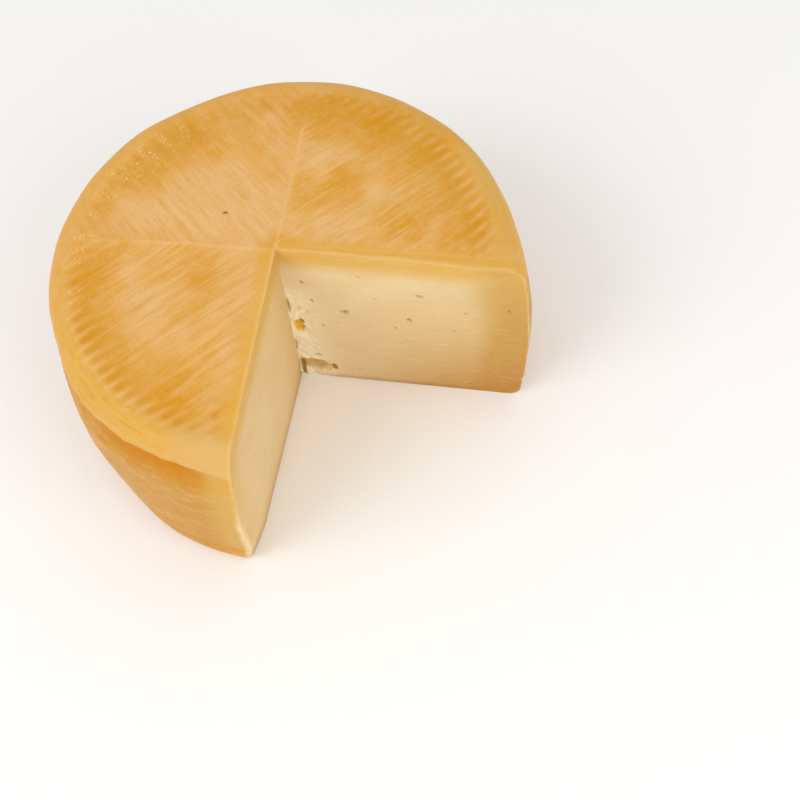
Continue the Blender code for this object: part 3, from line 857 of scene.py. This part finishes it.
# Cured rind: a natural rind pressed in cloth and boards and rubbed with oil. It has a dull, slightly
# greasy sheen, golden where it is worn and deeper orange in the hollows of the print.
rindLook = dict(
    peach="#E8B97A", golden="#E1A443", deep="#DA961C", tooth="#D4920C", line="#EFBE7E", bloom="#F3CE84",
    shoulder="#DFAD48", shoulderPale="#DBB26A", wallPale="#D9AC54", wall="#CA953A", wallPink="#DBA762",
    wallGold="#CB8B26", crease="#CC8410", foot="#D39236", strip="#E2AC48", edge="#F2C880",
    white="#F4E2BC", speck="#8E6C3C",
    roughness=0.5, ior=1.46, specular=0.2, soft=0.12, reach=(1.0, 0.55, 0.25), depth=2.5,
    pore=0.5, relief=0.12,                                   # mm
)
rindPatterns = dict(                 # places, mm along and across the streaks or lumps, detail, roughness
    even=("flow", 400, 400, 0, 0), mottle=("flow", 5, 5, 4, 0.65), fleck=("flow", 1.3, 1.3, 2, 0.6),
    fibre=("flow", 10, 1.1, 3, 0.6), streak=("flow", 24, 2.6, 3, 0.55),
    patch=("round", 6, 4, 4, 0.65), band=("round", 30, 3.2, 4, 0.6), weave=("round", 15, 3.0, 4, 0.65),
    grains=("round", 1.3, 1.3, 2, 0.8),
)
rindLayers = (                       # colour, where, pattern, the pattern's span, how much of it shows
    ("golden", "golden", "mottle", (-0.10, 0.75), 1.0),
    ("deep", "deep", "mottle", (-0.05, 0.68), 1.0),
    ("deep", "groove", "streak", (0.10, 0.70), 0.35),
    ("deep", "top", "fibre", (0.45, 0.85), 0.55),
    ("deep", "top", "streak", (0.45, 0.75), 0.40),
    ("deep", "top", "fleck", (0.48, 0.25), 0.35),
    ("line", "top", "fleck", (0.54, 0.75), 0.35),
    ("line", "top", "fibre", (0.50, 0.15), 0.32),
    ("line", "top", "streak", (0.46, 0.25), 0.30),
    ("line", "line", "fibre", (0.20, 0.50), 0.55),
    ("line", "cross", "fibre", (0.00, 0.45), 0.70),
    ("tooth", "goldRim", "mottle", (0.00, 0.60), 0.75),
    ("shoulder", "shoulder", "even", (-1, 0), 0.90),
    ("golden", "shoulder", "band", (0.46, 0.62), 0.60),
    ("tooth", "shoulder", "weave", (0.50, 0.66), 0.50),
    ("shoulderPale", "shoulder", "patch", (0.50, 0.70), 0.60),
    ("shoulderPale", "paleShoulder", "patch", (-0.20, 0.50), 0.90),
    ("wallPale", "paleRim", "patch", (0.20, 0.60), 0.90),
    ("line", "ridge", "fibre", (0.00, 0.60), 0.60),
    ("tooth", "tooth", "even", (-1, 0), 1.0),
    ("strip", "strip", "mottle", (-0.10, 0.60), 0.75),
    ("shoulderPale", "sheen", "patch", (0.20, 0.70), 0.30),
    ("wall", "wall", "even", (-1, 0), 1.0),
    ("wallPink", "pink", "weave", (0.20, 0.60), 0.85),
    ("wallPink", "wall", "patch", (0.46, 0.64), 0.65),
    ("wallGold", "wall", "weave", (0.49, 0.62), 0.65),
    ("wallGold", "rust", "patch", (0.10, 0.60), 0.85),
    ("wallPale", "nearCut", "patch", (-0.20, 0.50), 0.75),
    ("foot", "foot", "weave", (0.25, 0.55), 0.8),
    # painted shade under the lip, over the crease's deeper orange
    ("crease", "crease", "patch", (0.20, 0.52), 1.0),
    ("bloom", "bloom", "grains", (0.53, 0.62), 1.00),
    # partly a painted highlight along the cut edge
    ("edge", "edge", "mottle", (0.00, 0.60), 0.45),
    ("white", "pale", "patch", (0.25, 0.60), 0.75),
    # painted shadow of the bump, in the dent beside it
    ("crease", "dent", "even", (-1, 0), 0.55),
    ("speck", "speck", "even", (-1, 0), 1.0),
)


def layered(tree, ground, colors, patterns, layers):
    # one colour laid over the next, each by a mark on the mesh times a pattern at its real size
    sources, marks = {}, {}
    for row, (name, (places, length, width, detail, rough)) in enumerate(patterns.items()):
        source = addNode(tree, "ShaderNodeAttribute", (-10, row), attribute_name=places)
        scaled = addNode(tree, "ShaderNodeVectorMath", (-9, row), operation="MULTIPLY",
                         links={0: source.outputs["Vector"]}, values={1: (1 / length, 1 / width, 0.7)})
        noisy = addNode(tree, "ShaderNodeTexNoise", (-8, row), links={"Vector": scaled.outputs[0]},
                        values={"Scale": 1.0, "Detail": detail, "Roughness": rough})
        sources[name] = noisy.outputs["Fac"]
    for row, name in enumerate(sorted({layer[1] for layer in layers})):
        attribute = addNode(tree, "ShaderNodeAttribute", (-8, -2 - row), attribute_name=name)
        marks[name] = attribute.outputs["Fac"]
    color = None
    for row, (name, where, pattern, span, amount) in enumerate(layers):
        spread = addNode(tree, "ShaderNodeMapRange", (row - 6, 3), interpolation_type="SMOOTHSTEP",
                         values={"From Min": span[0], "From Max": span[1], "To Max": amount},
                         links={"Value": sources[pattern]})
        share = addNode(tree, "ShaderNodeMath", (row - 6, 1), operation="MULTIPLY",
                        links={0: spread.outputs[0], 1: marks[where]})
        blend = addNode(tree, "ShaderNodeMix", (row - 6, 0), data_type="RGBA", links={0: share.outputs[0]},
                        values={6: hexColor(ground), 7: hexColor(colors[name])})
        if color:
            tree.links.new(color, blend.inputs[6])
        color = blend.outputs[2]
    return color


def curedRind():
    look = rindLook
    material = bpy.data.materials.new("curedRind")
    material.use_nodes = True
    tree = material.node_tree
    tree.nodes.clear()
    color = layered(tree, look["peach"], look, rindPatterns, rindLayers)
    place = addNode(tree, "ShaderNodeTexCoord", (12, -3)).outputs["Object"]
    pores = addNode(tree, "ShaderNodeTexNoise", (13, -3), links={"Vector": place},
                    values={"Scale": 1 / (look["pore"] * mm), "Detail": 3})
    bump = addNode(tree, "ShaderNodeBump", (15, -3), links={"Height": pores.outputs["Fac"]},
                   values={"Strength": 0.25, "Distance": look["relief"] * mm})
    shader = addNode(tree, "ShaderNodeBsdfPrincipled", (17, 0),
                     values={"Roughness": look["roughness"], "IOR": look["ior"],
                             "Specular IOR Level": look["specular"], "Subsurface Weight": look["soft"],
                             "Subsurface Radius": look["reach"], "Subsurface Scale": look["depth"] * mm},
                     links={"Base Color": color, "Normal": bump.outputs["Normal"]})
    addNode(tree, "ShaderNodeOutputMaterial", (19, 0), links={"Surface": shader.outputs[0]})
    return material


# Cut paste: firm ivory curd, sliced with a knife. It is matt and a little translucent, golden towards the
# rind, and browner towards the outer side and the base, partly from ripening and partly as painted shade;
# its holes, cracks, slot and hollows are painted darker as their shade.
pasteLook = dict(
    # the hole, hollow, crack, chink and slot colours are painted shade, and the ripe and brown tones are
    # partly painted shade
    ivory="#EBD4A4", warm="#E5C791", band="#DFAF4C", ripe="#CA9C4E", brown="#BE8436", hole="#B8964C",
    hollow="#CBA556", crack="#A68638", chink="#C29C58", slot="#A87A2E", eye="#ECB83C", light="#F8EAC6",
    white="#F6E6C4",
    roughness=0.56, ior=1.45, specular=0.25, soft=0.2, reach=(1.0, 0.7, 0.4), depth=3.0,
    curd=0.9, relief=0.12,                                   # mm
)
pastePatterns = dict(
    even=("flow", 400, 400, 0, 0), cloud=("flow", 20, 16, 3, 0.5), drag=("flow", 14, 2.0, 3, 0.6),
    crumb=("flow", 2.2, 1.8, 3, 0.6),
)
pasteLayers = (
    ("warm", "face", "cloud", (0.35, 0.65), 0.40),
    ("band", "band", "even", (-1, 0), 0.9),
    # ripening, with painted shade of the lower right and the base
    ("ripe", "ripe", "even", (-1, 0), 0.9),
    ("brown", "brown", "even", (-1, 0), 0.9),
    ("light", "face", "drag", (0.50, 0.85), 0.22),
    ("warm", "face", "drag", (0.50, 0.20), 0.35),
    ("light", "broken", "cloud", (-0.2, 0.5), 0.95),
    # painted shade in the hollow under the ledge
    ("hollow", "hollow", "crumb", (-0.10, 0.55), 0.90),
    # painted shade in the holes
    ("hole", "hole", "even", (-1, 0), 0.75),
    ("eye", "eye", "crumb", (-0.20, 0.40), 1.0),
    # painted shade in the cracks, the chinks and the slot
    ("crack", "crack", "even", (-1, 0), 1.0),
    ("chink", "chink", "even", (-1, 0), 0.9),
    ("slot", "slot", "even", (-1, 0), 1.0),
    # partly a painted highlight along the cut edge
    ("light", "edge", "even", (-1, 0), 0.2),
    ("white", "white", "cloud", (0.10, 0.50), 0.65),
)


def cutPaste():
    look = pasteLook
    material = bpy.data.materials.new("cutPaste")
    material.use_nodes = True
    tree = material.node_tree
    tree.nodes.clear()
    color = layered(tree, look["ivory"], look, pastePatterns, pasteLayers)
    place = addNode(tree, "ShaderNodeTexCoord", (7, -3)).outputs["Object"]
    curd = addNode(tree, "ShaderNodeTexNoise", (8, -3), links={"Vector": place},
                   values={"Scale": 1 / (look["curd"] * mm), "Detail": 3})
    bump = addNode(tree, "ShaderNodeBump", (10, -3), links={"Height": curd.outputs["Fac"]},
                   values={"Strength": 0.3, "Distance": look["relief"] * mm})
    shader = addNode(tree, "ShaderNodeBsdfPrincipled", (12, 0),
                     values={"Roughness": look["roughness"], "IOR": look["ior"],
                             "Specular IOR Level": look["specular"], "Subsurface Weight": look["soft"],
                             "Subsurface Radius": look["reach"], "Subsurface Scale": look["depth"] * mm},
                     links={"Base Color": color, "Normal": bump.outputs["Normal"]})
    addNode(tree, "ShaderNodeOutputMaterial", (14, 0), links={"Surface": shader.outputs[0]})
    return material


def makeCheese():
    places, faces, materials, values = buildWheel()
    cheese = makeMesh("curedCheese", places, faces, materials, values)
    cheese.data.materials.append(curedRind())
    cheese.data.materials.append(cutPaste())
    cheese.data.shade_smooth()
    cheese.data.set_sharp_from_angle(angle=math.radians(60))
    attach(cheese, "root")
    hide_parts("cheese_wheel")
    print("cheese:", len(cheese.data.polygons), "faces")
    return cheese


# the table, the lamps and the camera

studio = dict(
    floor="#FCFBF9", floorSize=6.0, floorDrop=0.0002, room="#FFFFFF", roomStrength=0.72,
    lamps=(                              # name, place and aim in metres, size, watts
        ("softKey", (-0.75, -0.65, 0.95), (0, 0, 0.05), 0.9, 5.4),
        ("sideFill", (0.95, -0.60, 0.70), (0, 0, 0.04), 0.9, 4.2),
    ),
    cameraPlace=(90.5, -227.4, 398.2),   # mm
    back=(0.1039, -0.4691, 0.8770), right=(0.9925, 0.1058, -0.0610), focal=978.4 / 800,
)


def makeStudio():
    bpy.ops.mesh.primitive_plane_add(size=studio["floorSize"], location=(0, 0, -studio["floorDrop"]))
    floor = bpy.context.object
    floor.name = "paleTable"
    material = bpy.data.materials.new("paleTable")
    material.use_nodes = True
    shader = material.node_tree.nodes["Principled BSDF"]
    shader.inputs["Base Color"].default_value = hexColor(studio["floor"])
    shader.inputs["Roughness"].default_value = 0.8
    floor.data.materials.append(material)

    world = bpy.data.worlds.new("softRoom")
    world.use_nodes = True
    background = world.node_tree.nodes["Background"]
    background.inputs["Color"].default_value = hexColor(studio["room"])
    background.inputs["Strength"].default_value = studio["roomStrength"]
    bpy.context.scene.world = world
    for name, place, aim, size, watts in studio["lamps"]:
        data = bpy.data.lights.new(name, "AREA")
        data.shape = "DISK"
        data.size = size
        data.energy = watts
        lamp = bpy.data.objects.new(name, data)
        lamp.location = place
        lamp.rotation_euler = (Vector(aim) - Vector(place)).to_track_quat("-Z", "Y").to_euler()
        bpy.context.scene.collection.objects.link(lamp)

    data = bpy.data.cameras.new("camera")
    data.sensor_width = 36
    data.lens = 36 * studio["focal"]
    data.clip_start = 0.01
    camera = bpy.data.objects.new("camera", data)
    back, right = Vector(studio["back"]).normalized(), Vector(studio["right"])
    right = (right - back * right.dot(back)).normalized()
    up = back.cross(right)
    turned = Matrix((right, up, back)).transposed().to_4x4()
    camera.matrix_world = Matrix.Translation(Vector(studio["cameraPlace"]) * mm) @ turned
    bpy.context.scene.collection.objects.link(camera)
    bpy.context.scene.camera = camera
    bpy.context.scene.view_settings.view_transform = "Standard"


makeStudio()
print("studio ready")
makeCheese()
